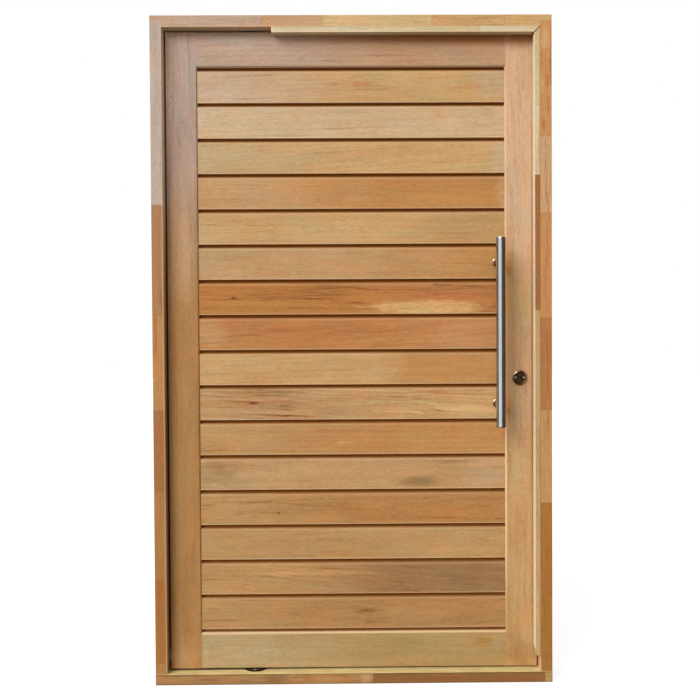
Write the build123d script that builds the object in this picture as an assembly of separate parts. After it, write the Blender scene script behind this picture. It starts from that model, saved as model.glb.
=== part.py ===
from build123d import *
import os

# Pivot door: a slatted timber leaf that turns on floor and head pivots inside a four-piece timber frame.
# Millimetres. X runs to the right seen from outside, Y runs inwards, Z is up.
# The origin is the middle of the sill's underside, on the mid-plane of the leaf.

# Frame
FRAME_W = 1290
FRAME_H = 2160
FRAME_DEPTH = 110
JAMB_T = 37.5
HEAD_T = 37.5
SILL_T = 36
HOUSING = 17            # depth the jamb tops are let into the head
FRAME_ARRIS = 1.5

# Leaf
LEAF_T = 44
SIDE_GAP = 6
TOP_GAP = 5
FLOOR_GAP = 6
STILE_W = 102
TOP_RAIL_H = 113
BOTTOM_RAIL_H = 117
LEAF_ARRIS = 2
PANEL_CHAMFER = 4       # chamfer round the panel opening, and the set-back of the slats

# Slats
SLAT_COUNT = 16
SHADOW_GAP = 10         # open groove between two slats
TONGUE_T = 12
TONGUE_IN = 8           # depth a tongue enters the next slat
TENON_L = 10
JOINT_PLAY = 0.2        # side clearance of tongues and tenons
JOINT_END = 1           # clearance at the end of tongues and tenons
SLAT_TOP_CHAMFER = 3
SLAT_FOOT_CHAMFER = 1

# Stops
STOP_OUT = 18
STOP_LEAF_GAP = 5
STOP_ROUND = 1.5
STOP_PIVOT_GAP = 69     # distance the head stops keep from the pivot axis
STOP_FOOT = 50          # height of a jamb stop's lower end above the sill
STOP_TOE_H = 30         # tapered lower end of a jamb stop
STOP_TOE_IN = 4
STOP_TOE_BEND = 90
STOP_TOE_R = 5          # rounded corner at the free end of a stop

# Pivots
PIVOT_OFFSET = 277      # pivot axis from the leaf's left edge
PIVOT_PIN_R = 9
PIVOT_PLAY = 0.05
PIVOT_LIFT = 0.3        # axial running gap at the thrust collar
FLOOR_DISC_R = 39
FLOOR_DISC_T = 4
FLOOR_DISC_CHAMFER = 1
COLLAR_R = 15
BUSH_R = 14
BUSH_H = 33
BUSH_END = 4            # closed end of a bush
PIN_END_GAP = 2         # pin end from the bottom of its bore
SEAT_PLAY = 0.1         # clearance of a let-in fitting in the timber
SHOE_L = 92
SHOE_W = 32
SHOE_T = 3

# Pull handles
BAR_R = 16
BAR_L = 606
BAR_INSET = 26.5        # bar axis from the right stile's inner edge
BAR_Z = 1139
BAR_OFF = 73            # bar axis from the slat face
BAR_CHAMFER = 1.5
POST_R = 11
POST_FOOT_R = 14.5
POST_FOOT_T = 6
POST_FOOT_BEVEL = 2     # height of the bevel from a foot's rim to its post
POST_SPACING = 460

# Lock
LOCK_BACKSET = 55       # cylinder axis from the leaf's right edge
LOCK_Z = 992
ROSE_R = 24.5
ROSE_T = 7
ROSE_BEVEL_W = 4.5
ROSE_BEVEL_H = 2.8
ROSE_DISH_R = 18.5
ROSE_DISH = 1.5
CYLINDER_R = 9
CYLINDER_OUT = 9        # cylinder face from the stile face
CYLINDER_CHAMFER = 1
FOREND_W = 24
FOREND_H = 235
FOREND_T = 3
CASE_T = 14
CASE_H = 165
CASE_L = 74
BOLT_T = 10
BOLT_H = 36
BOLT_RISE = 38          # middle of the bolt above the cylinder
BOLT_SUNK = 2
BOLT_SIDE_PLAY = 1
BOLT_END_PLAY = 2
KEEPER_H = 130
KEEPER_CORNER = 11
KEEPER_POCKET = 24

# Sizes that follow from the above
JAMB_X = FRAME_W / 2 - JAMB_T
HEAD_Z = FRAME_H - HEAD_T
FACE_Y = FRAME_DEPTH / 2
LEAF_X = JAMB_X - SIDE_GAP
LEAF_Y = LEAF_T / 2
LEAF_Z0 = SILL_T + FLOOR_GAP
LEAF_Z1 = HEAD_Z - TOP_GAP
PANEL_X = LEAF_X - STILE_W
PANEL_Z0 = LEAF_Z0 + BOTTOM_RAIL_H
PANEL_Z1 = LEAF_Z1 - TOP_RAIL_H
SLAT_Y = LEAF_Y - PANEL_CHAMFER
SLAT_PITCH = (PANEL_Z1 - PANEL_Z0 - SHADOW_GAP) / SLAT_COUNT
SLAT_H = SLAT_PITCH - SHADOW_GAP
TONGUE_Y = TONGUE_T / 2
GROOVE_Y = TONGUE_Y + JOINT_PLAY
GROOVE_IN = TONGUE_IN + JOINT_END
TONGUE_H = SHADOW_GAP + TONGUE_IN
STILE_GROOVE = TENON_L + JOINT_END
PIVOT_X = PIVOT_OFFSET - LEAF_X
STOP_Y = LEAF_Y + STOP_LEAF_GAP
BAR_X = PANEL_X - BAR_INSET
BAR_Y = SLAT_Y + BAR_OFF
LOCK_X = LEAF_X - LOCK_BACKSET
BORE_H = BUSH_H - BUSH_END
PIN_IN = BORE_H - PIN_END_GAP


def block(x, y, z):
    """Box between two values on each axis."""
    box = Box(x[1] - x[0], y[1] - y[0], z[1] - z[0])
    return Pos((x[0] + x[1]) / 2, (y[0] + y[1]) / 2, (z[0] + z[1]) / 2) * box


def upright(x, y, r, z0, z1):
    """Vertical cylinder."""
    return Pos(x, y, (z0 + z1) / 2) * Cylinder(r, z1 - z0)


def across(x, z, r, y0, y1):
    """Cylinder along Y."""
    return Pos(x, (y0 + y1) / 2, z) * Rot(90, 0, 0) * Cylinder(r, y1 - y0)


def turned(shape):
    """The same shape turned half a turn about Z, for the inside face."""
    return Rot(0, 0, 180) * shape


def eased(box, axis, r):
    """Box with its four long edges rounded."""
    return fillet(box.edges().filter_by(axis), r)


# Frame

def shoe(z0, z1):
    """Round-ended let-in plate on the pivot axis."""
    plate = Pos(PIVOT_X, 0, z0) * SlotOverall(SHOE_L, SHOE_W)
    return extrude(plate, z1 - z0)


def shoe_seat(z0, z1):
    """Recess for a let-in plate."""
    seat = Pos(PIVOT_X, 0, z0) * SlotOverall(SHOE_L + 2 * SEAT_PLAY, SHOE_W + 2 * SEAT_PLAY)
    return extrude(seat, z1 - z0)


def head():
    half = FRAME_W / 2
    beam = eased(block((-half, half), (-FACE_Y, FACE_Y), (HEAD_Z, FRAME_H)), Axis.X, FRAME_ARRIS)
    for low, high in ((-half, -JAMB_X), (JAMB_X, half)):
        beam -= block((low, high), (-FACE_Y, FACE_Y), (HEAD_Z, HEAD_Z + HOUSING))
    beam -= shoe_seat(HEAD_Z, HEAD_Z + SHOE_T)
    return beam - upright(PIVOT_X, 0, BUSH_R + SEAT_PLAY, HEAD_Z, HEAD_Z + HOUSING + SHOE_T)


def sill():
    half = FRAME_W / 2
    return eased(block((-half, half), (-FACE_Y, FACE_Y), (0, SILL_T)), Axis.X, FRAME_ARRIS)


def jamb():
    post = block((JAMB_X, FRAME_W / 2), (-FACE_Y, FACE_Y), (SILL_T, HEAD_Z + HOUSING))
    return eased(post, Axis.Z, FRAME_ARRIS)


def right_jamb():
    z = LOCK_Z + BOLT_RISE
    seat_h, seat_w = KEEPER_H / 2 + SEAT_PLAY, FOREND_W / 2 + SEAT_PLAY
    post = jamb() - block((JAMB_X, JAMB_X + FOREND_T), (-seat_w, seat_w), (z - seat_h, z + seat_h))
    return post - bolt_way(JAMB_X, JAMB_X + KEEPER_POCKET)


def bolt_way(x0, x1):
    """Clear way for the bolt through the keeper and into the jamb."""
    z, w, h = LOCK_Z + BOLT_RISE, BOLT_T / 2 + BOLT_SIDE_PLAY, BOLT_H / 2 + BOLT_END_PLAY
    return block((x0, x1), (-w, w), (z - h, z + h))


def stop_strip(outline):
    """Stop of the given outline, from the frame's outer face back to just clear of the leaf."""
    return extrude(Pos(0, -STOP_Y, 0) * (Plane.XZ * outline), FACE_Y - STOP_Y, dir=(0, -1, 0))


def head_stop(start):
    """Stop under the head, from a rounded free end beside the pivot to a mitre at the jamb."""
    low = HEAD_Z - STOP_OUT
    outline = Polygon((start, HEAD_Z), (JAMB_X, HEAD_Z), (JAMB_X - STOP_OUT, low), (start, low), align=None)
    outline = fillet(outline.vertices().group_by(Axis.X)[0].sort_by(Axis.Y)[0], STOP_TOE_R)
    stop = stop_strip(outline)
    edge = stop.edges().filter_by(Axis.X).group_by(Axis.Z)[0].sort_by(Axis.Y)[0]
    return fillet(edge, STOP_ROUND)


def jamb_stop():
    """Stop down the jamb, mitred at the head and tapered to a rounded toe above the sill."""
    foot, face = SILL_T + STOP_FOOT, JAMB_X - STOP_OUT
    outline = Polygon((JAMB_X, HEAD_Z), (JAMB_X, foot), (face + STOP_TOE_IN, foot),
                      (face, foot + STOP_TOE_H), (face, HEAD_Z - STOP_OUT), align=None)
    outline = fillet(outline.vertices().group_by(Axis.X)[0].sort_by(Axis.Y)[0], STOP_TOE_BEND)
    outline = fillet(outline.vertices().group_by(Axis.Y)[0].sort_by(Axis.X)[0], STOP_TOE_R)
    stop = stop_strip(outline)
    edge = stop.edges().filter_by(Axis.Z).group_by(Axis.X)[0].sort_by(Axis.Y)[0]
    return fillet(edge, STOP_ROUND)


def floor_pivot_plate():
    """Round floor plate with thrust collar and pin."""
    disc = upright(PIVOT_X, 0, FLOOR_DISC_R, SILL_T, SILL_T + FLOOR_DISC_T)
    disc = chamfer(disc.edges().group_by(Axis.Z)[-1], FLOOR_DISC_CHAMFER)
    collar = upright(PIVOT_X, 0, COLLAR_R, SILL_T, LEAF_Z0 - PIVOT_LIFT)
    pin = upright(PIVOT_X, 0, PIVOT_PIN_R, SILL_T, LEAF_Z0 + PIN_IN)
    return disc + collar + pin


def head_pivot_plate():
    """Plate let into the head, with the pin that drops into the leaf."""
    housing = upright(PIVOT_X, 0, BUSH_R, HEAD_Z, HEAD_Z + HOUSING)
    pin = upright(PIVOT_X, 0, PIVOT_PIN_R, LEAF_Z1 - PIN_IN, HEAD_Z + SHOE_T)
    return shoe(HEAD_Z, HEAD_Z + SHOE_T) + housing + pin


def lock_keeper():
    z, w, h = LOCK_Z + BOLT_RISE, FOREND_W / 2, KEEPER_H / 2
    plate = block((JAMB_X, JAMB_X + FOREND_T), (-w, w), (z - h, z + h))
    plate = fillet(plate.edges().filter_by(Axis.X), KEEPER_CORNER)
    return plate - bolt_way(JAMB_X, JAMB_X + FOREND_T)


# Leaf

def panel_flare():
    """Chamfer round the panel opening, cut into the stiles and rails on both faces."""
    grow = 2 * PANEL_CHAMFER
    mouth = Plane.XZ * Rectangle(2 * PANEL_X + grow, PANEL_Z1 - PANEL_Z0 + grow)
    mouth = Pos(0, -LEAF_Y, (PANEL_Z0 + PANEL_Z1) / 2) * mouth
    outer = extrude(mouth, -PANEL_CHAMFER, taper=45)
    return outer + turned(outer)


def stile():
    """Right stile blank: outer edges rounded, inner edge grooved for the tenons."""
    post = block((PANEL_X, LEAF_X), (-LEAF_Y, LEAF_Y), (LEAF_Z0, LEAF_Z1))
    post = fillet(post.edges().filter_by(Axis.Z).group_by(Axis.X)[-1], LEAF_ARRIS)
    post -= block((PANEL_X, PANEL_X + STILE_GROOVE), (-GROOVE_Y, GROOVE_Y), (LEAF_Z0, LEAF_Z1))
    return post - panel_flare()


def right_stile():
    """Right stile with the lock mortise, forend recess and cylinder hole."""
    play = SEAT_PLAY
    post = stile() - forend_blank(play) - case_blank(play)
    return post - across(LOCK_X, LOCK_Z, CYLINDER_R + play, -LEAF_Y, LEAF_Y)


def rail_blank(z0, z1):
    """Rail with a stub tenon at each end."""
    body = block((-PANEL_X, PANEL_X), (-LEAF_Y, LEAF_Y), (z0, z1))
    reach = PANEL_X + TENON_L
    return body, block((-reach, reach), (-TONGUE_Y, TONGUE_Y), (z0, z1))


def top_rail():
    body, tenon = rail_blank(PANEL_Z1, LEAF_Z1)
    body = fillet(body.edges().filter_by(Axis.X).group_by(Axis.Z)[-1], LEAF_ARRIS)
    rail = body + tenon
    reach = PANEL_X + TENON_L
    rail -= block((-reach, reach), (-GROOVE_Y, GROOVE_Y), (PANEL_Z1, PANEL_Z1 + GROOVE_IN))
    rail = rail - panel_flare() - shoe_seat(LEAF_Z1 - SHOE_T, LEAF_Z1)
    return rail - upright(PIVOT_X, 0, BUSH_R + SEAT_PLAY, LEAF_Z1 - BUSH_H - SEAT_PLAY, LEAF_Z1)


def bottom_rail():
    body, tenon = rail_blank(LEAF_Z0, PANEL_Z0)
    body = fillet(body.edges().filter_by(Axis.X).group_by(Axis.Z)[0], LEAF_ARRIS)
    body -= panel_flare()
    reach = PANEL_X + TENON_L
    tongue = block((-reach, reach), (-TONGUE_Y, TONGUE_Y), (PANEL_Z0, PANEL_Z0 + TONGUE_H))
    rail = body + tenon + tongue - shoe_seat(LEAF_Z0, LEAF_Z0 + SHOE_T)
    return rail - upright(PIVOT_X, 0, BUSH_R + SEAT_PLAY, LEAF_Z0, LEAF_Z0 + BUSH_H + SEAT_PLAY)


def slat(z0):
    """Slat with a tongue on its top edge, a groove below and a stub tenon at each end."""
    y, h, top, foot = SLAT_Y, SLAT_H, SLAT_TOP_CHAMFER, SLAT_FOOT_CHAMFER
    half = [(GROOVE_Y, GROOVE_IN), (GROOVE_Y, 0), (y - foot, 0), (y, foot), (y, h - top), (y - top, h),
            (TONGUE_Y, h), (TONGUE_Y, h + TONGUE_H)]
    outline = half + [(-a, b) for a, b in reversed(half)]
    body = extrude(Plane.YZ * Polygon(*outline, align=None), PANEL_X, both=True)
    for x0, x1 in ((-PANEL_X - TENON_L, -PANEL_X), (PANEL_X, PANEL_X + TENON_L)):
        body += block((x0, x1), (-TONGUE_Y, TONGUE_Y), (GROOVE_IN, h + TONGUE_H))
    return Pos(0, 0, z0) * body


def bottom_pivot_bush():
    """Shoe and blind bush let into the bottom rail."""
    bush = shoe(LEAF_Z0, LEAF_Z0 + SHOE_T) + upright(PIVOT_X, 0, BUSH_R, LEAF_Z0, LEAF_Z0 + BUSH_H)
    return bush - upright(PIVOT_X, 0, PIVOT_PIN_R + PIVOT_PLAY, LEAF_Z0, LEAF_Z0 + BORE_H)


def top_pivot_bush():
    """Shoe and blind bush let into the top rail."""
    bush = shoe(LEAF_Z1 - SHOE_T, LEAF_Z1) + upright(PIVOT_X, 0, BUSH_R, LEAF_Z1 - BUSH_H, LEAF_Z1)
    return bush - upright(PIVOT_X, 0, PIVOT_PIN_R + PIVOT_PLAY, LEAF_Z1 - BORE_H, LEAF_Z1)


def handle_bar():
    bar = upright(BAR_X, -BAR_Y, BAR_R, BAR_Z - BAR_L / 2, BAR_Z + BAR_L / 2)
    return chamfer(bar.edges().filter_by(GeomType.CIRCLE), BAR_CHAMFER)


def handle_posts():
    """Two turned posts with bevelled feet on the slat face, their ends shaped to the bar."""
    rim = POST_FOOT_T - POST_FOOT_BEVEL
    profile = Polygon((0, 0), (POST_FOOT_R, 0), (POST_FOOT_R, -rim), (POST_R, -POST_FOOT_T),
                      (POST_R, -BAR_OFF), (0, -BAR_OFF), align=None)
    post = revolve(profile, Axis.Y)
    posts = [Pos(BAR_X, -SLAT_Y, BAR_Z + d) * post for d in (-POST_SPACING / 2, POST_SPACING / 2)]
    bar = upright(BAR_X, -BAR_Y, BAR_R, BAR_Z - BAR_L / 2, BAR_Z + BAR_L / 2)
    return Compound([(post - bar).solid() for post in posts])


def inner_side(shape):
    """The same fitting on the inside face, straight behind the outer one."""
    return mirror(shape, Plane.XZ)


def lock_rose():
    """Round rose, turned with a bevelled rim and a shallow dish around the cylinder."""
    hole, rim = CYLINDER_R + SEAT_PLAY, ROSE_R - ROSE_BEVEL_W
    profile = Polygon((hole, 0), (ROSE_R, 0), (ROSE_R, ROSE_BEVEL_H - ROSE_T), (rim, -ROSE_T),
                      (ROSE_DISH_R, ROSE_DISH - ROSE_T), (hole, ROSE_DISH - ROSE_T), align=None)
    return Pos(LOCK_X, -LEAF_Y, LOCK_Z) * revolve(profile, Axis.Y)


def lock_cylinder():
    reach = LEAF_Y + CYLINDER_OUT
    barrel = across(LOCK_X, LOCK_Z, CYLINDER_R, -reach, reach)
    return chamfer(barrel.edges().filter_by(GeomType.CIRCLE), CYLINDER_CHAMFER)


def forend_blank(play):
    """Lock forend in the leaf's edge; play is added all round for its recess."""
    w, h = FOREND_W / 2 + play, FOREND_H / 2 + play
    return block((LEAF_X - FOREND_T, LEAF_X), (-w, w), (LOCK_Z - h, LOCK_Z + h))


def case_blank(play):
    """Lock case behind the forend; play is added all round for its mortise."""
    w, h = CASE_T / 2 + play, CASE_H / 2 + play
    return block((LEAF_X - FOREND_T - CASE_L - play, LEAF_X - FOREND_T), (-w, w), (LOCK_Z - h, LOCK_Z + h))


def lock_forend():
    """Forend with the case behind it and the drawn-back bolt showing in its window."""
    lock = forend_blank(0) + case_blank(0)
    z = LOCK_Z + BOLT_RISE
    lock -= block((LEAF_X - BOLT_SUNK, LEAF_X), (-BOLT_T / 2, BOLT_T / 2), (z - BOLT_H / 2, z + BOLT_H / 2))
    return lock - across(LOCK_X, LOCK_Z, CYLINDER_R + SEAT_PLAY, -CASE_T, CASE_T)


parts = {
    "head": head(),
    "sill": sill(),
    "left_jamb": turned(jamb()),
    "right_jamb": right_jamb(),
    "front_head_stop": head_stop(STOP_PIVOT_GAP + PIVOT_X),
    "front_jamb_stop": jamb_stop(),
    "back_head_stop": turned(head_stop(STOP_PIVOT_GAP - PIVOT_X)),
    "back_jamb_stop": turned(jamb_stop()),
    "floor_pivot_plate": floor_pivot_plate(),
    "head_pivot_plate": head_pivot_plate(),
    "lock_keeper": lock_keeper(),
    "left_stile": turned(stile()),
    "right_stile": right_stile(),
    "top_rail": top_rail(),
    "bottom_rail": bottom_rail(),
    "bottom_pivot_bush": bottom_pivot_bush(),
    "top_pivot_bush": top_pivot_bush(),
    "front_handle_bar": handle_bar(),
    "front_handle_posts": handle_posts(),
    "back_handle_bar": inner_side(handle_bar()),
    "back_handle_posts": inner_side(handle_posts()),
    "front_lock_rose": lock_rose(),
    "back_lock_rose": inner_side(lock_rose()),
    "lock_cylinder": lock_cylinder(),
    "lock_forend": lock_forend(),
}
# Slats are counted from the top.
for number in range(1, SLAT_COUNT + 1):
    foot = PANEL_Z0 + SHADOW_GAP + (SLAT_COUNT - number) * SLAT_PITCH
    parts[f"slat_{number:02d}"] = slat(foot)

os.makedirs("parts", exist_ok=True)
for name, shape in parts.items():
    export_step(shape, f"parts/{name}.step")
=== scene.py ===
import math
import random

import bmesh
import bpy
from mathutils import Matrix, Vector


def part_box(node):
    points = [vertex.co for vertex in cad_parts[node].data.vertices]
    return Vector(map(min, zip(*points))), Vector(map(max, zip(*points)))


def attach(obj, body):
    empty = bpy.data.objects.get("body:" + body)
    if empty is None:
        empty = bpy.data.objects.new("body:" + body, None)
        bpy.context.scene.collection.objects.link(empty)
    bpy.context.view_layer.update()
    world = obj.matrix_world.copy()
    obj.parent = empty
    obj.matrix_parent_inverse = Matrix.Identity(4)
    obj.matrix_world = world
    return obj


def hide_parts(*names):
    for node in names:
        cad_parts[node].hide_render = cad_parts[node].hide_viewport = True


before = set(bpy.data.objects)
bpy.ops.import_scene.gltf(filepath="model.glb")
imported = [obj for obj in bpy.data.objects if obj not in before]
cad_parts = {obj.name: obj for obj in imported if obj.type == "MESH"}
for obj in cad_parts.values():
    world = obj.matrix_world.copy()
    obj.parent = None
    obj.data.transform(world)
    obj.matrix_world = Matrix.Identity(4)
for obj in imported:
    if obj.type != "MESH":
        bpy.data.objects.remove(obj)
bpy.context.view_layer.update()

# Camera: at eye level, nearly square to the door and a little left of its middle.
# It looks slightly down and right and is slightly rolled, as a hand-held shot is.
EYE = (-0.029, -2.7345, 1.1342)
PITCH, YAW, ROLL = -1.039, 0.438, -0.331
SENSOR, FOCAL = 36.0, 42.706
camera_data = bpy.data.cameras.new("camera")
camera_data.sensor_width = SENSOR
camera_data.lens = FOCAL
camera = bpy.data.objects.new("camera", camera_data)
scene = bpy.context.scene
scene.collection.objects.link(camera)
turn = Matrix.Rotation(math.radians(-YAW), 4, "Z") @ Matrix.Rotation(math.radians(90 + PITCH), 4, "X")
camera.matrix_world = Matrix.Translation(EYE) @ turn @ Matrix.Rotation(math.radians(ROLL), 4, "Z")
scene.camera = camera

# Frame: sill, two jambs and head, planed from short blocks of mixed hardwood.
# The blocks are finger-jointed end to end into long members, so each keeps its own tone and grain.
# A thin clear oil leaves the timber satin, with open pores and slightly raised fibres.


def tone(red, green, blue):
    """Linear colour from a tone as it looks on a screen, each part out of 255."""
    parts = [c / 255 for c in (red, green, blue)]
    return [c / 12.92 if c <= 0.04045 else ((c + 0.055) / 1.055) ** 2.4 for c in parts] + [1.0]


def node(tree, kind, inputs=None, **settings):
    """New node with its settings made and its inputs set or linked."""
    made = tree.nodes.new(kind)
    for name, value in settings.items():
        setattr(made, name, value)
    for key, value in (inputs or {}).items():
        if isinstance(value, bpy.types.NodeSocket):
            tree.links.new(value, made.inputs[key])
        else:
            made.inputs[key].default_value = value
    return made


def maths(tree, operation, a, b=0.0, c=0.0):
    """Result of one Math node."""
    return node(tree, "ShaderNodeMath", {0: a, 1: b, 2: c}, operation=operation).outputs[0]


def vectors(tree, operation, a, b, c=(0.0, 0.0, 0.0), result="Vector"):
    """Result of one Vector Math node."""
    inputs = {0: a, 1: b, 2: c} if operation == "MULTIPLY_ADD" else {0: a, 1: b}
    return node(tree, "ShaderNodeVectorMath", inputs, operation=operation).outputs[result]


def span(tree, value, low, high, to_low=0.0, to_high=1.0):
    """A value's place between low and high, eased and clamped."""
    inputs = {"Value": value, "From Min": low, "From Max": high, "To Min": to_low, "To Max": to_high}
    return node(tree, "ShaderNodeMapRange", inputs, interpolation_type="SMOOTHSTEP").outputs[0]


def mixed(tree, factor, a, b, mode="MIX"):
    """Colour mix of a and b."""
    return node(tree, "ShaderNodeMix", {0: factor, 6: a, 7: b}, data_type="RGBA", blend_type=mode).outputs[2]


def noise(tree, vector, stretch, detail=2.0, rough=0.55):
    """Noise over a vector, its features one unit long divided by stretch."""
    inputs = {"Vector": vectors(tree, "MULTIPLY", vector, stretch), "Scale": 1.0, "Detail": detail,
              "Roughness": rough}
    return node(tree, "ShaderNodeTexNoise", inputs).outputs["Fac"]


def new_group(name, inputs, outputs):
    """Empty shader node group with named sockets: the group, what it is given, and its output node."""
    group = bpy.data.node_groups.new(name, "ShaderNodeTree")
    for socket, kind in inputs:
        group.interface.new_socket(socket, in_out="INPUT", socket_type="NodeSocket" + kind)
    for socket, kind in outputs:
        group.interface.new_socket(socket, in_out="OUTPUT", socket_type="NodeSocket" + kind)
    return group, group.nodes.new("NodeGroupInput").outputs, group.nodes.new("NodeGroupOutput").inputs


CLOUD_SWING, FLECK_SWING, FIBRE_SWING, PORE_SWING = 0.40, 0.68, 0.45, -0.16
GRAIN_BOW = (0.0, 0.04, 0.04)
VEIN_SHARE = 0.45
DEEPENING = (0.85, 1.15, 1.5)
WARM_DRIFT = (1.08, 0.97, 0.84, 1.0)
COOL_DRIFT = (0.92, 1.05, 1.06, 1.0)


def make_grain():
    """Grain of a board whose length is the vector's X: clouds of tone, flecks and fibres,
    growth rings, dark streaks and pores."""
    tree, given, out = new_group(
        "timber_grain",
        [("Vector", "Vector"), ("Tone", "Color"), ("Figure", "Float"), ("Streaks", "Float"),
         ("Hue Drift", "Float")],
        [("Color", "Color"), ("Roughness", "Float"), ("Height", "Float")])
    sway = maths(tree, "SUBTRACT", noise(tree, given["Vector"], (2.4, 9.0, 9.0)), 0.5)
    shift = node(tree, "ShaderNodeCombineXYZ", {"Y": sway, "Z": sway}).outputs[0]
    bowed = vectors(tree, "MULTIPLY_ADD", shift, GRAIN_BOW, given["Vector"])
    rings = node(tree, "ShaderNodeTexWave",
                 {"Vector": vectors(tree, "MULTIPLY", bowed, (0.09, 1.0, 1.0)), "Scale": 22.0,
                  "Distortion": 1.6, "Detail": 2.0, "Detail Scale": 9.0, "Detail Roughness": 0.6},
                 wave_type="RINGS", rings_direction="X", wave_profile="SIN").outputs["Fac"]
    cloud = noise(tree, bowed, (4.0, 18.0, 18.0))
    hue = noise(tree, vectors(tree, "ADD", bowed, (3.7, 1.9, 5.3)), (6.0, 24.0, 24.0))
    fleck = noise(tree, bowed, (50.0, 420.0, 420.0), 3.0, 0.65)
    fibre = noise(tree, bowed, (80.0, 1300.0, 1300.0), 2.0, 0.6)
    pores = span(tree, noise(tree, bowed, (90.0, 2300.0, 2300.0), 1.0), 0.62, 0.74)
    streak = span(tree, noise(tree, bowed, (2.6, 110.0, 110.0), 3.0, 0.6), 0.56, 0.74)
    vein = span(tree, noise(tree, bowed, (2.2, 250.0, 250.0), 2.0, 0.5), 0.58, 0.70)
    streak = maths(tree, "MULTIPLY_ADD", vein, VEIN_SHARE, streak)
    level = 1.0
    for layer, swing in ((cloud, CLOUD_SWING), (fleck, FLECK_SWING), (fibre, FIBRE_SWING)):
        level = maths(tree, "MULTIPLY_ADD", maths(tree, "SUBTRACT", layer, 0.5), swing, level)
    level = maths(tree, "SUBTRACT", level, maths(tree, "MULTIPLY", rings, given["Figure"]))
    level = maths(tree, "SUBTRACT", level, maths(tree, "MULTIPLY", streak, given["Streaks"]))
    level = maths(tree, "MULTIPLY_ADD", pores, PORE_SWING, level)
    off = maths(tree, "SUBTRACT", level, 1.0)
    deep = vectors(tree, "MULTIPLY_ADD", off, DEEPENING, (1.0, 1.0, 1.0))
    shaded = mixed(tree, 1.0, given["Tone"], deep, "MULTIPLY")
    tint = mixed(tree, span(tree, hue, 0.34, 0.66), WARM_DRIFT, COOL_DRIFT)
    tree.links.new(mixed(tree, given["Hue Drift"], shaded, tint, "MULTIPLY"), out["Color"])
    rough = maths(tree, "MULTIPLY_ADD", fibre, 0.22, 0.44)
    tree.links.new(maths(tree, "MULTIPLY_ADD", pores, 0.12, rough), out["Roughness"])
    relief = maths(tree, "MULTIPLY_ADD", fleck, 0.35, maths(tree, "MULTIPLY", fibre, 0.45))
    tree.links.new(maths(tree, "MULTIPLY_ADD", pores, -0.8, relief), out["Height"])
    return tree


def make_patch():
    """Soft-edged patch of a given half-size round a centre, uneven in outline.
    It may break into fibres along X."""
    tree, given, out = new_group(
        "timber_patch",
        [("Vector", "Vector"), ("Centre", "Vector"), ("Half Size", "Vector"), ("Core", "Float"),
         ("Uneven", "Float"), ("Fibres", "Float")],
        [("Mask", "Float")])
    off = vectors(tree, "SUBTRACT", given["Vector"], given["Centre"])
    off = vectors(tree, "DIVIDE", off, given["Half Size"])
    ragged = maths(tree, "SUBTRACT", noise(tree, given["Vector"], (22.0, 22.0, 60.0), 3.0), 0.5)
    reach = vectors(tree, "LENGTH", off, (0.0, 0.0, 0.0), result="Value")
    reach = maths(tree, "ADD", reach, maths(tree, "MULTIPLY", ragged, given["Uneven"]))
    strands = span(tree, noise(tree, given["Vector"], (8.0, 60.0, 210.0), 3.0, 0.6), 0.47, 0.58)
    missing = maths(tree, "MULTIPLY", maths(tree, "SUBTRACT", 1.0, strands), given["Fibres"])
    mask = span(tree, reach, given["Core"], 1.0, 1.0, 0.0)
    tree.links.new(maths(tree, "MULTIPLY", mask, maths(tree, "SUBTRACT", 1.0, missing)), out["Mask"])
    return tree


def new_material(name):
    """Material with a Principled BSDF: the material, its tree and the shader."""
    made = bpy.data.materials.new(name)
    made.use_nodes = True
    return made, made.node_tree, made.node_tree.nodes["Principled BSDF"]


def object_place(tree):
    """Object coordinates and their three parts."""
    place = node(tree, "ShaderNodeTexCoord").outputs["Object"]
    parts = node(tree, "ShaderNodeSeparateXYZ", {0: place})
    return place, parts.outputs[0], parts.outputs[1], parts.outputs[2]


GRAIN_RELIEF, GRAIN_DEPTH, OIL_SHEEN = 0.30, 0.0005, 0.34


def timber(tree, shader, vector, colour, figure, streaks, drift, marks):
    """Grain, hand-placed marks and an oiled finish into the shader."""
    grain = node(tree, "ShaderNodeGroup", {"Vector": vector, "Tone": colour, "Figure": figure,
                                           "Streaks": streaks, "Hue Drift": drift}, node_tree=GRAIN)
    tree.links.new(marks(grain.outputs["Color"]), shader.inputs["Base Color"])
    tree.links.new(grain.outputs["Roughness"], shader.inputs["Roughness"])
    bump = node(tree, "ShaderNodeBump",
                {"Height": grain.outputs["Height"], "Strength": GRAIN_RELIEF, "Distance": GRAIN_DEPTH})
    tree.links.new(bump.outputs[0], shader.inputs["Normal"])
    shader.inputs["Specular IOR Level"].default_value = OIL_SHEEN


def marked(tree, place, shown, centre, half, colour, share, core=0.2, uneven=0.6, fibres=0.0):
    """One patch of another colour over the timber."""
    patch = node(tree, "ShaderNodeGroup", {"Vector": place, "Centre": centre, "Half Size": half, "Core": core,
                                           "Uneven": uneven, "Fibres": fibres}, node_tree=PATCH)
    return mixed(tree, maths(tree, "MULTIPLY", patch.outputs["Mask"], share), shown, colour)


def dress(name, material):
    """Gives a CAD node one material."""
    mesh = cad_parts[name].data
    mesh.materials.clear()
    mesh.materials.append(material)


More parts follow.
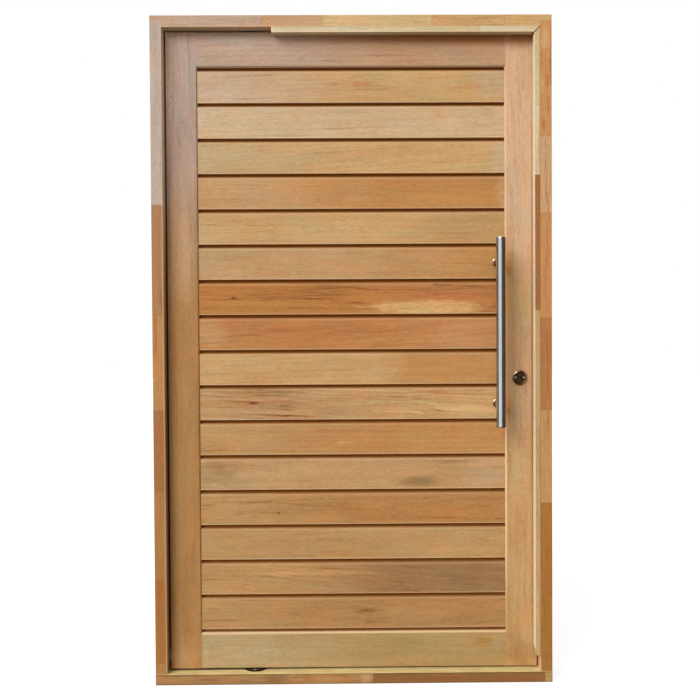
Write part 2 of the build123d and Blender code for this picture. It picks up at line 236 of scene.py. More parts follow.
GRAIN = make_grain()
PATCH = make_patch()
FINGER = 0.010
GLUE_THIN, GLUE_WIDE, GLUE_SHARE = 0.0003, 0.0011, 0.40
BLOCK_STRIDE, BLOCK_SHIFT = 3.1, 0.37
PLAIN_FIGURE, HUE_DRIFT = 0.06, 0.5
GLUE_LINE = tone(96, 60, 36)
ROSE_GREY = tone(186, 164, 148)
ROSE_BEIGE = tone(185, 152, 127)
PALE_HONEY = tone(198, 152, 109)
STRAW_HONEY = tone(206, 170, 119)
ORANGE_HONEY = tone(202, 158, 105)
END_HONEY = tone(202, 159, 102)
CORN = tone(196, 147, 93)
TAWNY = tone(195, 138, 82)
RED_TAWNY = tone(184, 128, 73)
OCHRE = tone(176, 121, 66)
RUSSET = tone(169, 120, 74)
BURNT_RUSSET = tone(163, 106, 56)
DEEP_RUSSET = tone(169, 107, 48)
ORANGE_RUSSET = tone(177, 117, 68)
PALE_TAWNY = tone(212, 168, 118)
RUST_STREAK = tone(168, 100, 50)
RED_OCHRE = tone(168, 113, 48)
SILL_RUSSET = tone(169, 123, 73)
SILL_HONEY = tone(178, 131, 75)
RED_BROWN = tone(142, 94, 45)
SILL_RED = tone(176, 96, 58)
END_STRAW = tone(182, 145, 84)
BUTTER = tone(226, 206, 144)
BUTTER_SHADE = tone(208, 184, 122)
# A pale tone: one pale block end on the sill, and painted highlights on lit edges and arrises.
PALE_AND_HIGHLIGHT = tone(226, 190, 146)
# Grime on the sill, and also painted shade on its front edges and under the leaf.
GRIME_AND_SHADE = tone(104, 76, 42)
# Painted shade and painted light for the left jamb's inner face.
REVEAL_SHADE = tone(96, 56, 26)
REVEAL_LIGHT = tone(236, 222, 212)
REVEAL_PEACH = tone(222, 180, 134)


def jointed_member(name, axis, seams, tones, streaks=(0.25, 0.25), over=None):
    """Finger-jointed member: tone and grain change at the seams, with fingers on the two side faces."""
    made, tree, shader = new_material(name)
    place, x, y, z = object_place(tree)
    along, wide = (z, x) if axis == "Z" else (x, z)
    length = maths(tree, "MULTIPLY_ADD", maths(tree, "PINGPONG", y, FINGER / 4), 4.0, along)
    colour, number, gap = tones[0], 0.0, 1.0
    for seam, after in zip(seams, tones[1:]):
        past = maths(tree, "GREATER_THAN", length, seam)
        colour = mixed(tree, past, colour, after)
        number = maths(tree, "ADD", number, past)
        gap = maths(tree, "MINIMUM", gap, maths(tree, "ABSOLUTE", maths(tree, "SUBTRACT", length, seam)))
    own = maths(tree, "MULTIPLY", number, BLOCK_SHIFT)
    vector = node(tree, "ShaderNodeCombineXYZ", {
        "X": maths(tree, "MULTIPLY_ADD", number, BLOCK_STRIDE, along),
        "Y": maths(tree, "ADD", wide, own), "Z": maths(tree, "ADD", y, own)}).outputs[0]
    line = span(tree, gap, GLUE_THIN, GLUE_WIDE, GLUE_SHARE, 0.0)
    strength = span(tree, along, seams[0], seams[-1], *streaks)

    def over_grain(shown):
        shown = mixed(tree, line, shown, GLUE_LINE)
        return shown if over is None else over(tree, shown, place, x, y, z)

    timber(tree, shader, vector, colour, PLAIN_FIGURE, strength, HUE_DRIFT, over_grain)
    dress(name, made)


SILL_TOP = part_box("sill")[1][2]
OPENING_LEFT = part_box("left_jamb")[1][0]
OPENING_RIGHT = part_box("right_jamb")[0][0]
FRAME_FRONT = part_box("right_jamb")[0][1]
LEAF_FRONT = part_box("left_stile")[0][1]
HEAD_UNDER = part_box("head")[0][2]
FACE_SKIN = 0.0012
FACE_MARK_DEPTH, SILL_MARK_H = 0.02, 0.03
SILL_ENDS = ((-0.258, 0.046, GRIME_AND_SHADE, 0.45), (0.037, 0.026, PALE_AND_HIGHLIGHT, 0.28))


def sill_wear(tree, shown, place, x, y, z):
    """The sill's front is streaked with grime and red grain, most at the left, with painted shade along its
    top and bottom edges.
    One block ends dark and one pale; the top is painted pale, a paler lamella with painted light from above,
    and has a painted shade strip under the leaf's left end."""
    left = span(tree, x, -0.25, 0.20, 1.0, 0.4)
    grime = span(tree, noise(tree, place, (9.0, 40.0, 150.0), 4.0, 0.65), 0.50, 0.62)
    grime = maths(tree, "MULTIPLY", grime, maths(tree, "MULTIPLY", left, 0.5))
    shown = mixed(tree, grime, shown, GRIME_AND_SHADE)
    beside = vectors(tree, "ADD", place, (2.0, 0.0, 1.0))
    red = span(tree, noise(tree, beside, (12.0, 40.0, 120.0), 3.0), 0.53, 0.64)
    red = maths(tree, "MULTIPLY", red, maths(tree, "MULTIPLY", left, 0.45))
    shown = mixed(tree, red, shown, SILL_RED)
    for wide, half_x, colour, share in SILL_ENDS:
        centre, half = (wide, FRAME_FRONT, SILL_TOP / 2), (half_x, FACE_MARK_DEPTH, SILL_MARK_H)
        shown = marked(tree, place, shown, centre, half, colour, share)
    # Painted shade along the front's top and bottom edges.
    middle = maths(tree, "ABSOLUTE", maths(tree, "SUBTRACT", z, SILL_TOP / 2))
    shown = mixed(tree, span(tree, middle, SILL_TOP * 0.25, SILL_TOP * 0.5, 0.0, 0.6), shown, GRIME_AND_SHADE)
    # The top is painted pale: a paler lamella, with painted light from above.
    top = maths(tree, "GREATER_THAN", z, SILL_TOP - FACE_SKIN)
    drift = span(tree, noise(tree, place, (14.0, 70.0, 1.0), 3.0, 0.6), 0.34, 0.62)
    shown = mixed(tree, maths(tree, "MULTIPLY", top, 0.9), shown, mixed(tree, drift, BUTTER, BUTTER_SHADE))
    # Painted shade on the top just under the leaf's left end.
    under = maths(tree, "MULTIPLY", span(tree, y, LEAF_FRONT - 0.002, LEAF_FRONT + 0.002), top)
    under = maths(tree, "MULTIPLY", under, span(tree, x, -0.50, 0.10, 0.9, 0.0))
    return mixed(tree, under, shown, GRIME_AND_SHADE)


def left_reveal(tree, shown, place, x, y, z):
    """The left jamb's inner arris has a painted highlight; its inner face has painted light above and near
    the front, and painted shade below.
    """
    arris = span(tree, x, OPENING_LEFT - 0.005, OPENING_LEFT - 0.001, 0.0, 0.5)
    shown = mixed(tree, arris, shown, PALE_AND_HIGHLIGHT)
    inner = maths(tree, "GREATER_THAN", x, OPENING_LEFT - FACE_SKIN / 2)
    lit_above = maths(tree, "MULTIPLY", inner, span(tree, z, 1.3, 1.7, 0.0, 0.9))
    shown = mixed(tree, lit_above, shown, REVEAL_LIGHT)
    shaded = maths(tree, "MULTIPLY", inner, span(tree, z, 1.0, 1.5, 0.5, 0.0))
    shown = mixed(tree, shaded, shown, REVEAL_SHADE)
    lip = maths(tree, "MULTIPLY", inner, span(tree, y, FRAME_FRONT + 0.006, FRAME_FRONT + 0.014, 0.9, 0.0))
    return mixed(tree, lip, shown, PALE_AND_HIGHLIGHT)


TOP_BLOCK_MOTTLES = (
    (0.018, 2.085, 0.018, 0.055, PALE_TAWNY, 0.6), (0.006, 1.945, 0.008, 0.075, PALE_TAWNY, 0.6),
    (0.030, 2.005, 0.005, 0.035, RUST_STREAK, 0.6), (0.024, 1.950, 0.006, 0.040, RUST_STREAK, 0.7),
    (0.027, 1.870, 0.006, 0.050, RUST_STREAK, 0.6), (0.012, 1.805, 0.010, 0.038, RUST_STREAK, 0.7))


def right_reveal(tree, shown, place, x, y, z):
    """The right jamb's top block is mottled pale and rust; its inner face is painted paler."""
    for wide, high, half_x, half_z, colour, share in TOP_BLOCK_MOTTLES:
        centre, half = (OPENING_RIGHT + wide, FRAME_FRONT, high), (half_x, FACE_MARK_DEPTH, half_z)
        shown = marked(tree, place, shown, centre, half, colour, share, 0.1, 1.4)
    inner = maths(tree, "LESS_THAN", x, OPENING_RIGHT + FACE_SKIN / 2)
    return mixed(tree, maths(tree, "MULTIPLY", inner, 0.85), shown, REVEAL_PEACH)


def head_pale_arris(tree, shown, place, x, y, z):
    """The head's lower arris is painted paler."""
    return mixed(tree, span(tree, z, HEAD_UNDER + 0.001, HEAD_UNDER + 0.005, 0.5, 0.0), shown, PALE_AND_HIGHLIGHT)


jointed_member("sill", "X", (-0.215, 0.062, 0.621), (SILL_RUSSET, SILL_HONEY, RED_BROWN, END_STRAW),
               (0.45, 0.3), sill_wear)
jointed_member("left_jamb", "Z", (0.072, 0.344, 0.633, 0.893, 1.202, 1.555),
               (OCHRE, DEEP_RUSSET, OCHRE, BURNT_RUSSET, RED_TAWNY, RUSSET, ROSE_GREY),
               (0.26, 0.26), left_reveal)
jointed_member("right_jamb", "Z", (0.284, 0.586, 0.888, 1.186, 1.524, 1.772),
               (RED_OCHRE, DEEP_RUSSET, CORN, ORANGE_RUSSET, TAWNY, PALE_HONEY, TAWNY),
               (0.24, 0.28), right_reveal)
jointed_member("head", "X", (-0.284, -0.092, 0.260, 0.493),
               (ROSE_BEIGE, PALE_HONEY, STRAW_HONEY, ORANGE_HONEY, END_HONEY), (0.25, 0.4), head_pale_arris)

# Stops: thin strips of a paler, softer timber, pinned to the head and jambs where the leaf closes.
# The long part of the leaf closes against the outer pair, the short part against the inner pair.
# Each is finger-jointed too, with one browner length, and the corner mitre has opened a little.
CREAM = tone(212, 190, 152)
FLAX = tone(192, 157, 105)
STRAW_CREAM = tone(204, 178, 130)
BROWN_STOP = tone(161, 102, 51)
# Painted light on the stops' lit side faces, free ends and lower arrises.
LIT_SIDE_CREAM = tone(232, 209, 177)
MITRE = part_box("front_head_stop")[1][2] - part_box("front_head_stop")[1][0]
MITRE_GAP = 0.0017
STOP_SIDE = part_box("front_jamb_stop")[0][0]
STOP_FACE = -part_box("front_head_stop")[0][1]
STOP_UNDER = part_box("front_head_stop")[0][2]


def stop_joints(tree, shown, x, z):
    """A dark line where a stop meets its jamb, and the open mitre at the corner."""
    seam = span(tree, maths(tree, "ABSOLUTE", x), OPENING_RIGHT - 0.0030, OPENING_RIGHT - 0.0010, 0.0, 0.6)
    shown = mixed(tree, seam, shown, GLUE_LINE)
    off = maths(tree, "ABSOLUTE", maths(tree, "SUBTRACT", maths(tree, "SUBTRACT", z, x), MITRE))
    return mixed(tree, span(tree, off, MITRE_GAP, 2 * MITRE_GAP, 0.95, 0.0), shown, GLUE_LINE)


def jamb_stop_lit_face(tree, shown, place, x, y, z):
    """The face towards the middle of the leaf has painted light, paler than the rest."""
    pale = maths(tree, "LESS_THAN", maths(tree, "ABSOLUTE", x), STOP_SIDE + FACE_SKIN)
    return stop_joints(tree, mixed(tree, maths(tree, "MULTIPLY", pale, 0.9), shown, LIT_SIDE_CREAM), x, z)


def head_stop_highlights(end):
    """Painted highlights of a head stop whose free end lies at a given x: its end and lower arris are painted
    pale.
    """
    def over_grain(tree, shown, place, x, y, z):
        off = maths(tree, "ABSOLUTE", maths(tree, "SUBTRACT", x, end))
        shown = mixed(tree, span(tree, off, 0.002, 0.006, 0.6, 0.0), shown, LIT_SIDE_CREAM)
        face = maths(tree, "GREATER_THAN", maths(tree, "ABSOLUTE", y), STOP_FACE - FACE_SKIN)
        low = span(tree, z, STOP_UNDER + 0.003, STOP_UNDER + 0.009, 0.35, 0.0)
        rubbed = maths(tree, "MULTIPLY", face, low)
        return stop_joints(tree, mixed(tree, rubbed, shown, LIT_SIDE_CREAM), x, z)
    return over_grain


for side, end in (("front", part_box("front_head_stop")[0][0]), ("back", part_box("back_head_stop")[1][0])):
    jointed_member(f"{side}_jamb_stop", "Z", (0.540, 1.212, 1.647, 1.870),
                   (FLAX, FLAX, BROWN_STOP, CREAM, STRAW_CREAM), (0.2, 0.2), jamb_stop_lit_face)
    jointed_member(f"{side}_head_stop", "X", (0.158, 0.414), (CREAM, STRAW_CREAM, CREAM), (0.2, 0.2),
                   head_stop_highlights(end))

# Leaf members: two stiles and two rails of the same hardwood, each one board, glued at the corners.
# Their inner edges carry a small chamfer round the panel, and painted shade reddens the open grooves.
MAUVE = tone(178, 148, 132)
STILE_BROWN = tone(173, 125, 71)
STILE_SAND = tone(198, 154, 106)
# Painted light that lifts the jamb's shadow at the top of the left stile's outer edge.
STILE_EDGE_LIGHT = tone(240, 206, 188)
PEACH = tone(206, 167, 132)
STILE_HONEY = tone(194, 150, 98)
RAIL_GREY = tone(184, 154, 133)
RAIL_ROSE = tone(185, 142, 107)
RAIL_SAND = tone(182, 153, 108)
RAIL_KHAKI = tone(174, 140, 88)
RAIL_FILLER = tone(190, 170, 134)
# Painted shade for the open grooves and for the slat faces just below them.
GROOVE_SHADE = tone(148, 85, 22)
MOUTH_SHADE = tone(122, 75, 30)
KNOT = tone(104, 60, 34)
OLD_OLIVE = tone(128, 98, 44)
AMBER_STAIN = tone(184, 134, 62)
# Painted warm shade of the pull bar and its posts on the right stile.
BAR_SHADE_ORANGE = tone(206, 142, 74)
# Painted shadow of the stops on the leaf.
STOP_SHADE = tone(104, 66, 36)
STOP_SHADOW = tone(150, 86, 28)
SLAT_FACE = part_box("slat_01")[0][1]
GROOVE_MOUTH, GROOVE_FLOOR = 0.0150, 0.0070
LIP_W, LIP_DROP = 0.006, 0.006
MOUTH_W, MOUTH_SHARE = 0.006, 0.75
MARK_DEPTH = 0.012


def mark(x, z, wide, high, colour, share, core=0.2, uneven=0.8, fibres=0.0):
    """A patch on the outer face of the leaf, by its middle and half sizes in metres."""
    return (x, SLAT_FACE, z), (wide, MARK_DEPTH, high), colour, share, core, uneven, fibres


def board(name, axis, tones, change, figure=PLAIN_FIGURE, streaks=0.18, lean=0.0, tints=(), marks=(),
          lips=(), mouths=(), shade=0.85):
    """One solid board whose tone passes from the first to the second over the change range.
    Tints lie under the grain and marks over it; lips are (height, share) of long edges painted paler, a
    painted highlight on the lit top edges.
    Mouths are the heights of edges given a painted shade from the groove above them.
    Shade is how far the sunk faces in the grooves are darkened by painted shade."""
    made, tree, shader = new_material(name)
    place, x, y, z = object_place(tree)
    draw = random.Random(name)
    along, wide = (z, x) if axis == "Z" else (x, z)
    low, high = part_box(name)
    middle = (low + high) / 2
    centre = (middle[2], middle[0], middle[1]) if axis == "Z" else (middle[0], middle[2], middle[1])
    vector = node(tree, "ShaderNodeCombineXYZ", {"X": along, "Y": wide, "Z": y}).outputs[0]
    pith = (draw.uniform(-0.3, 0.3), draw.uniform(-0.05, 0.05), draw.uniform(0.03, 0.09))
    turns = (0.0, math.radians(draw.uniform(-1.5, 1.5)), math.radians(lean + draw.uniform(-1.5, 1.5)))
    shift = [p - c for p, c in zip(pith, centre)]
    own = node(tree, "ShaderNodeMapping",
               {"Vector": vector, "Location": shift, "Rotation": turns}).outputs[0]
    waver = maths(tree, "SUBTRACT", noise(tree, own, (3.0, 18.0, 18.0)), 0.5)
    reach = maths(tree, "MULTIPLY_ADD", waver, change[1] - change[0], along)
    colour = mixed(tree, span(tree, reach, change[0], change[1]), tones[0], tones[1])
    for patch in tints:
        colour = marked(tree, place, colour, *patch)
    sunk = span(tree, maths(tree, "ABSOLUTE", y), GROOVE_FLOOR, GROOVE_MOUTH, shade, 0.0)

    def over_grain(shown):
        for patch in marks:
            shown = marked(tree, place, shown, *patch)
        for height, share in lips:
            off = maths(tree, "ABSOLUTE", maths(tree, "SUBTRACT", z, height))
            shown = mixed(tree, span(tree, off, 0.0, LIP_W, share, 0.0), shown, PALE_AND_HIGHLIGHT)
        for height in mouths:
            below = maths(tree, "SUBTRACT", height, z)
            shown = mixed(tree, span(tree, below, 0.0, MOUTH_W, MOUTH_SHARE, 0.0), shown, MOUTH_SHADE)
        return mixed(tree, sunk, shown, GROOVE_SHADE)

    timber(tree, shader, own, colour, figure, streaks, HUE_DRIFT, over_grain)
    sheen = maths(tree, "MULTIPLY_ADD", sunk, -OIL_SHEEN, OIL_SHEEN)
    tree.links.new(sheen, shader.inputs["Specular IOR Level"])
    dress(name, made)


OPEN_GROOVE = 0.010
TONGUE_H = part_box("bottom_rail")[1][2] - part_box("slat_16")[0][2] + OPEN_GROOVE
# Shares of the paler lips on long edges: a painted highlight on the lit top edges.
FOOT_LIP, TOP_LIP, RAIL_LIP = 0.50, 0.20, 0.70
RAIL_LIP_DROP = 0.003
RAIL_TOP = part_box("bottom_rail")[1][2] - TONGUE_H
# The pale strip high on the outer edge is painted light lifting the jamb's shadow.
board("left_stile", "Z", (STILE_BROWN, MAUVE), (1.15, 1.75), streaks=0.26,
      tints=(mark(-0.603, 1.950, 0.030, 0.420, STILE_EDGE_LIGHT, 0.95, 0.15, 0.2),
             mark(-0.553, 1.430, 0.060, 0.260, STILE_SAND, 0.5),
             mark(-0.555, 0.070, 0.070, 0.110, STILE_HONEY, 0.7)),
      marks=(mark(-0.584, 1.912, 0.005, 0.006, KNOT, 0.6), mark(-0.549, 1.828, 0.006, 0.005, KNOT, 0.7)))
# Right stile: the orange patches beside the bar are painted warm shade of the bar and posts, and the peach
# patch at mid height is painted light lifting the bar's shadow. The pale lines at the inner edge are a
# painted highlight, and the dark patches at the top corner and along the stop are painted shadow of the
# stops.
board("right_stile", "Z", (STILE_HONEY, PEACH), (1.20, 1.60), streaks=0.24, shade=0.25,
      tints=(mark(0.548, 0.060, 0.080, 0.130, STILE_BROWN, 0.8),
             mark(0.550, 0.950, 0.070, 0.420, PEACH, 0.7),
             mark(0.513, 1.365, 0.024, 0.090, BAR_SHADE_ORANGE, 0.9, 0.2, 1.2),
             mark(0.512, 1.235, 0.011, 0.055, BAR_SHADE_ORANGE, 0.8),
             mark(0.506, 1.090, 0.009, 0.300, BAR_SHADE_ORANGE, 0.6, 0.3),
             mark(0.513, 0.900, 0.016, 0.060, BAR_SHADE_ORANGE, 0.8)),
      marks=(mark(0.502, 1.08, 0.0045, 1.05, PALE_AND_HIGHLIGHT, 0.45, 0.5, 0.2),
             mark(0.502, 0.58, 0.0045, 0.42, PALE_AND_HIGHLIGHT, 0.6, 0.5, 0.2),
             mark(0.550, 2.104, 0.130, 0.056, STOP_SHADOW, 0.92, 0.25, 0.2),
             mark(0.588, 1.05, 0.0055, 1.45, STOP_SHADE, 0.5, 0.3, 0.2)))
# The wide patch along the top of the top rail is a painted shadow of the head stop.
board("top_rail", "X", (RAIL_GREY, RAIL_ROSE), (-0.35, 0.15),
      marks=(mark(-0.158, 2.031, 0.018, 0.003, KNOT, 0.5),
             mark(0.360, 2.100, 0.660, 0.042, STOP_SHADOW, 0.9, 0.2, 0.2)),
      lips=((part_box("top_rail")[0][2], FOOT_LIP),))
board("bottom_rail", "X", (RAIL_SAND, RAIL_KHAKI), (-0.35, 0.15), streaks=0.06,
      tints=(mark(-0.487, 0.100, 0.014, 0.060, RAIL_FILLER, 0.7),
             mark(0.470, 0.110, 0.040, 0.040, RAIL_SAND, 0.6)),
      marks=(mark(0.425, 0.124, 0.050, 0.034, AMBER_STAIN, 0.6, 0.3, 1.6),
             mark(0.425, 0.124, 0.055, 0.036, OLD_OLIVE, 0.5, 0.2, 1.4, 1.0)),
      lips=((RAIL_TOP - RAIL_LIP_DROP, RAIL_LIP),))

# Slats: sixteen tongued and grooved boards laid across the leaf, each cut from a different piece.
# Tones run from pale straw through honey to rust; a few carry knots, a grey streak or an olive stain.
BISQUE = tone(196, 162, 131)
STRAW = tone(202, 171, 134)
PINK_STRAW = tone(203, 167, 126)
GREY_WHEAT = tone(191, 158, 113)
WHEAT = tone(197, 154, 102)
BISCUIT = tone(192, 149, 101)
TAN = tone(188, 134, 78)
COPPER = tone(186, 129, 71)
RUST = tone(183, 119, 54)
SALMON = tone(186, 122, 67)
PINK_SALMON = tone(191, 132, 82)
SAND = tone(186, 142, 91)
AMBER = tone(183, 131, 75)
UMBER = tone(176, 129, 78)
OLIVE = tone(157, 116, 74)
PALE_BAND = tone(216, 172, 114)
PALE_WHEAT = tone(204, 162, 110)
RED_LINE = tone(170, 92, 44)
BROWN_STREAK = tone(122, 66, 28)
OLIVE_STAIN = tone(158, 122, 74)
GREY_STAIN = tone(126, 94, 62)
SLATS = {
    1: dict(tones=(BISQUE, WHEAT), change=(-0.45, 0.05), streaks=0.22,
            tints=(mark(0.457, 1.950, 0.080, 0.060, BISQUE, 0.6),),
            marks=(mark(-0.052, 1.948, 0.030, 0.0028, BROWN_STREAK, 0.45),
                   mark(0.050, 1.950, 0.090, 0.012, RED_LINE, 0.6, 0.2, 0.8, 1.0))),
    2: dict(tones=(STRAW, PINK_STRAW)),
    3: dict(tones=(GREY_WHEAT, WHEAT), change=(-0.45, 0.10), lean=-3.0,
            tints=(mark(0.485, 1.707, 0.040, 0.090, BISQUE, 0.6, 0.4),)),
    4: dict(tones=(BISCUIT, COPPER), change=(-0.40, 0.15),
            tints=(mark(0.500, 1.597, 0.036, 0.090, BISCUIT, 0.8, 0.4),)),
    5: dict(tones=(WHEAT, SAND), change=(0.10, 0.40), marks=(mark(0.446, 1.485, 0.004, 0.003, CREAM, 0.8),)),
    6: dict(tones=(BISCUIT, TAN), change=(-0.10, 0.40)),
    7: dict(tones=(RUST, SALMON), figure=0.12, streaks=0.50,
            tints=(mark(-0.055, 1.257, 0.300, 0.070, RUST, 0.8),
                   mark(0.239, 1.222, 0.260, 0.030, PALE_BAND, 0.9, 0.4)),
            marks=(mark(-0.160, 1.270, 0.280, 0.040, BROWN_STREAK, 0.55, 0.3, 0.8, 1.0),
                   mark(-0.096, 1.301, 0.125, 0.006, BROWN_STREAK, 0.7, 0.2, 0.8, 0.6),
                   mark(0.010, 1.239, 0.062, 0.0034, BROWN_STREAK, 0.8),
                   mark(-0.060, 1.243, 0.120, 0.008, RED_LINE, 0.7, 0.2, 0.8, 1.0),
                   mark(0.330, 1.291, 0.200, 0.016, BROWN_STREAK, 0.75, 0.3, 0.8, 1.0),
                   mark(0.300, 1.262, 0.220, 0.020, RED_LINE, 0.7, 0.3, 0.8, 1.0),
                   mark(0.272, 1.298, 0.012, 0.005, KNOT, 0.8),
                   mark(-0.388, 1.257, 0.018, 0.009, BROWN_STREAK, 0.6),
                   mark(-0.388, 1.257, 0.008, 0.006, KNOT, 0.9))),
    8: dict(tones=(SALMON, PINK_SALMON), change=(0.10, 0.35), lean=-2.0, streaks=0.20,
            tints=(mark(-0.472, 1.145, 0.090, 0.080, WHEAT, 0.6),),
            marks=(mark(-0.120, 1.150, 0.300, 0.040, RED_LINE, 0.45, 0.3, 0.8, 1.0),)),
    9: dict(tones=(WHEAT, TAN), change=(0.06, 0.24)),
    10: dict(tones=(BISCUIT, PALE_WHEAT), change=(-0.05, 0.40), figure=0.16, streaks=0.50, lean=2.5,
             tints=(mark(-0.302, 0.954, 0.220, 0.026, OLIVE_STAIN, 0.6, 0.2, 1.2),
                    mark(0.222, 0.893, 0.280, 0.030, PALE_BAND, 0.5)),
             marks=(mark(-0.245, 0.915, 0.260, 0.014, RED_LINE, 0.7, 0.3, 0.8, 0.9),
                    mark(0.107, 0.935, 0.170, 0.016, RED_LINE, 0.7, 0.3, 0.8, 0.9),
                    mark(0.304, 0.946, 0.190, 0.014, RED_LINE, 0.6, 0.3, 0.8, 0.9),
                    mark(-0.237, 0.896, 0.060, 0.012, BROWN_STREAK, 0.7, 0.2, 1.4, 0.8),
                    mark(-0.326, 0.913, 0.026, 0.008, BROWN_STREAK, 0.75),
                    mark(-0.326, 0.913, 0.011, 0.006, KNOT, 0.9),
                    mark(-0.337, 0.959, 0.006, 0.004, KNOT, 0.8),
                    mark(-0.306, 0.958, 0.006, 0.004, KNOT, 0.8),
                    mark(0.020, 0.925, 0.140, 0.004, BROWN_STREAK, 0.4, 0.2, 0.8, 0.6))),
    11: dict(tones=(SAND, TAN), change=(-0.35, 0.05),
             marks=(mark(-0.033, 0.782, 0.034, 0.004, PALE_BAND, 0.5),)),
    12: dict(tones=(BISCUIT, BISCUIT),
             tints=(mark(-0.439, 0.682, 0.110, 0.065, OLIVE_STAIN, 0.65, 0.0, 1.2),
                    mark(0.435, 0.672, 0.100, 0.070, BISQUE, 0.4),
                    mark(0.213, 0.650, 0.110, 0.024, OLIVE_STAIN, 0.85)),
             marks=(mark(-0.439, 0.690, 0.100, 0.050, GREY_STAIN, 0.3, 0.1, 1.2, 1.0),
                    mark(0.213, 0.652, 0.100, 0.018, GREY_STAIN, 0.45, 0.1, 1.2, 0.6),
                    mark(0.353, 0.719, 0.120, 0.010, GREY_STAIN, 0.75, 0.2, 0.8, 0.8))),
    13: dict(tones=(SAND, AMBER), change=(-0.45, -0.05), streaks=0.35, figure=0.10,
             tints=(mark(0.352, 0.548, 0.150, 0.045, SALMON, 0.4),),
             marks=(mark(-0.272, 0.586, 0.230, 0.014, BROWN_STREAK, 0.5, 0.2, 0.8, 1.0),
                    mark(-0.245, 0.551, 0.008, 0.005, KNOT, 0.8))),
    14: dict(tones=(SAND, SAND), tints=(mark(0.344, 0.449, 0.220, 0.080, WHEAT, 0.5),)),
    15: dict(tones=(SAND, OLIVE), change=(-0.25, 0.15), streaks=0.35, lean=3.0,
             tints=(mark(-0.126, 0.353, 0.320, 0.012, PALE_BAND, 0.4),),
             marks=(mark(0.368, 0.329, 0.180, 0.050, GREY_STAIN, 0.45, 0.2, 0.8, 0.7),)),
    16: dict(tones=(SAND, UMBER), change=(-0.50, -0.05), streaks=0.28,
             marks=(mark(0.046, 0.229, 0.060, 0.012, BROWN_STREAK, 0.7, 0.2, 1.6, 0.7),
                    mark(0.040, 0.230, 0.014, 0.005, KNOT, 0.6),
                    mark(0.071, 0.193, 0.050, 0.018, BROWN_STREAK, 0.55, 0.2, 1.6, 0.8))),
}
for number, looks in SLATS.items():
    name = f"slat_{number:02d}"
    low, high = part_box(name)
    looks = dict(change=(-0.35, 0.35), streaks=0.15) | looks
    top = high[2] - TONGUE_H
    # Each slat gets paler lips at its foot and top, the top one a painted highlight, and painted shade below
    # the groove above it.
    board(name, "X", lips=((low[2], FOOT_LIP), (top - LIP_DROP, TOP_LIP)), mouths=(top,), **looks)

# Pivots: blackened steel plates, collars and bushes, turned and oiled.
# The floor plate shows in front of the leaf and is held by three dome-headed screws with cross recesses.
HANDLED = 0.8
HAZE_SWING, MARK_SWING = 0.10, 0.14
POLISH_RELIEF, POLISH_DEPTH = 0.12, 0.0002


def metal(name, colour, rough, brushed=(400.0, 400.0, 400.0)):
    """Metal with fine directional polish marks and faint handling marks."""
    made, tree, shader = new_material(name)
    place = object_place(tree)[0]
    marks = noise(tree, place, brushed, 3.0, 0.6)
    haze = noise(tree, place, (25.0, 25.0, 25.0), 3.0)
    worn = maths(tree, "MULTIPLY_ADD", marks, MARK_SWING, rough - (HAZE_SWING + MARK_SWING) / 2)
    worn = maths(tree, "MULTIPLY_ADD", haze, HAZE_SWING, worn)
    tree.links.new(worn, shader.inputs["Roughness"])
    dulled = [c * HANDLED for c in colour[:3]] + [1.0]
    tree.links.new(mixed(tree, haze, colour, dulled), shader.inputs["Base Color"])
    shader.inputs["Metallic"].default_value = 1.0
    bump = node(tree, "ShaderNodeBump",
                {"Height": marks, "Strength": POLISH_RELIEF, "Distance": POLISH_DEPTH})
    tree.links.new(bump.outputs[0], shader.inputs["Normal"])
    return made


def standing(axis):
    """Turn that brings the Z axis on to a given axis."""
    return Vector((0.0, 0.0, 1.0)).rotation_difference(Vector(axis)).to_matrix().to_4x4()


def turned(shape, profile, place, axis, steps=48, closed=False):
    """Adds a turned form to a mesh: (along, radius) points spun about an axis through a place."""
    before = set(shape.verts)
    points = [shape.verts.new((radius, 0.0, along)) for along, radius in profile]
    pairs = list(zip(points, points[1:])) + ([(points[-1], points[0])] if closed else [])
    edges = [shape.edges.new(pair) for pair in pairs]
    bmesh.ops.spin(shape, geom=points + edges, cent=(0.0, 0.0, 0.0), axis=(0.0, 0.0, 1.0), angle=math.tau,
                   steps=steps, use_merge=True)
    bmesh.ops.remove_doubles(shape, verts=[v for v in shape.verts if v not in before], dist=1e-7)
    bmesh.ops.transform(shape, matrix=Matrix.Translation(place) @ standing(axis),
                        verts=[v for v in shape.verts if v not in before])


def finished(shape, name, materials, body, slot_name, *stands_for, sharp=32.0):
    """Makes a mesh a finished piece with its materials and body; the slot name is not used.
    Edges past the sharp angle stay crisp."""
    bmesh.ops.recalc_face_normals(shape, faces=shape.faces)
    data = bpy.data.meshes.new(name)
    shape.to_mesh(data)
    shape.free()
    for material in materials:
        data.materials.append(material)
    data.shade_smooth()
    data.set_sharp_from_angle(angle=math.radians(sharp))
    piece = bpy.data.objects.new(name, data)
    scene.collection.objects.link(piece)
    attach(piece, body)
    if stands_for:
        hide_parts(*stands_for)


